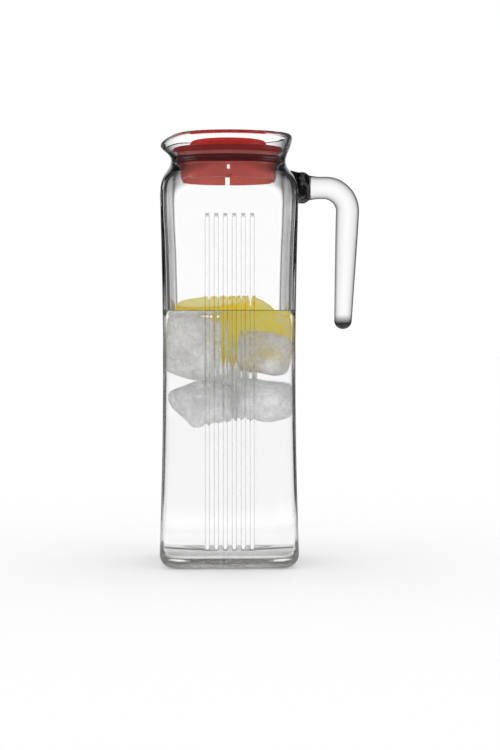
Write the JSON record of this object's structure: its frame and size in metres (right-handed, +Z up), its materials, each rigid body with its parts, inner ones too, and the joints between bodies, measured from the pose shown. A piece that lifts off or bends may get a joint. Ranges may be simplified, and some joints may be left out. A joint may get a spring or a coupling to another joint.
{
  "type": "fridge water jug",
  "caption": "Square-shouldered glass fridge jug with a free-ended glass handle and a red push-in lid that lifts out and turns.",
  "frame": {"origin": "middle of the flat base, on the axis of the round mouth", "axes": "+Z up, +X towards the handle, -X towards the pouring lip, -Y out of the ribbed front face"},
  "size_m": [0.1311, 0.0913, 0.28],
  "materials": {
    "clear_glass": "polished clear",
    "red_plastic": "glossy translucent red",
    "red_seal": "satin dark red"
  },
  "bodies": {
    "jug": {"glass_body": "clear_glass", "glass_handle": "clear_glass"},
    "seal": {"seal_ring": "red_seal"},
    "lid": {"lid_cap": "red_plastic", "lid_plug": "red_plastic"}
  },
  "joints": [
    {"name": "lid_lift", "type": "slide", "parent": "jug", "child": "seal", "axis": [0, 0, 1], "range_m": [0, 0.12]},
    {"name": "lid_turn", "type": "hinge", "parent": "seal", "child": "lid", "pos_m": [0, 0, 0.268], "axis": [0, 0, 1], "continuous": true}
  ]
}
